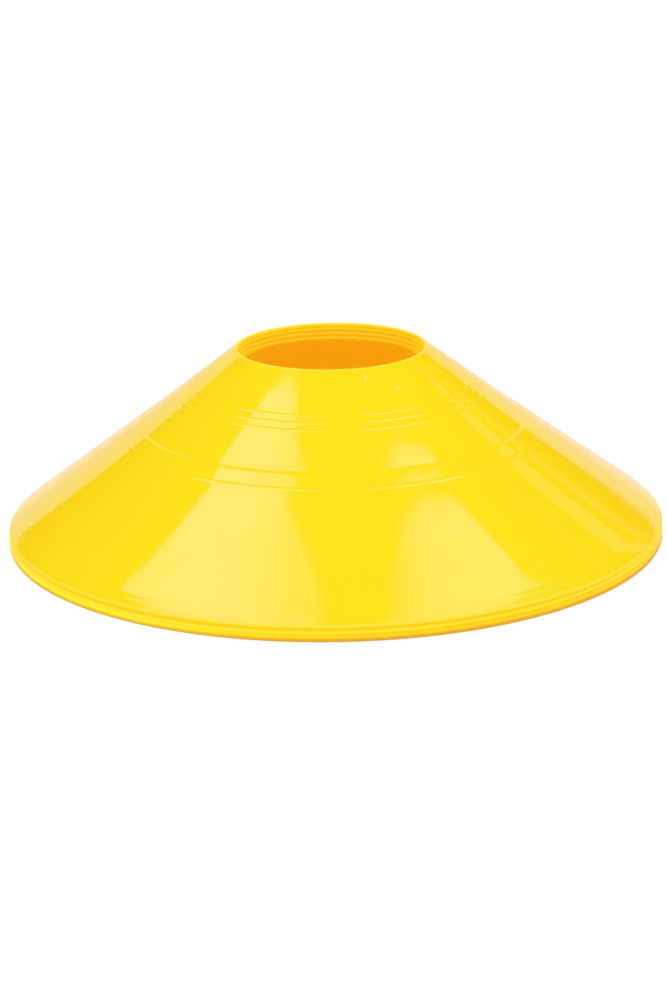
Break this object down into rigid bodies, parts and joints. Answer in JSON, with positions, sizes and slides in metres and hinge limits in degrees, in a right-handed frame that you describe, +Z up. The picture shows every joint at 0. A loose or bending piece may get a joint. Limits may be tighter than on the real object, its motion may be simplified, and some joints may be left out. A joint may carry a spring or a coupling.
{
  "type": "disc marker cone nest",
  "caption": "Nest of low round sports marker cones with a wide top hole; each one lifts off upwards, and the lowest stands on its rim.",
  "frame": {"origin": "centre of the lowest cone's rim, on the ground that the nest stands on", "axes": "+Z up along the cones' common axis; X and Y lie on the ground, and the nest looks the same all round"},
  "size_m": [0.19, 0.19, 0.0549],
  "materials": {
    "moulded_plastic": "glossy, thin soft plastic that lets a little light through"
  },
  "bodies": {
    "bottom_cone": {"bottom_cone": "moulded_plastic"},
    "second_cone": {"second_cone": "moulded_plastic"},
    "third_cone": {"third_cone": "moulded_plastic"},
    "top_cone": {"top_cone": "moulded_plastic"}
  },
  "joints": [
    {"name": "second_cone_lift", "type": "slide", "parent": "bottom_cone", "child": "second_cone", "axis": [0, 0, 1], "range_m": [0, 0.06]},
    {"name": "third_cone_lift", "type": "slide", "parent": "second_cone", "child": "third_cone", "axis": [0, 0, 1], "range_m": [0, 0.06]},
    {"name": "top_cone_lift", "type": "slide", "parent": "third_cone", "child": "top_cone", "axis": [0, 0, 1], "range_m": [0, 0.06]}
  ]
}
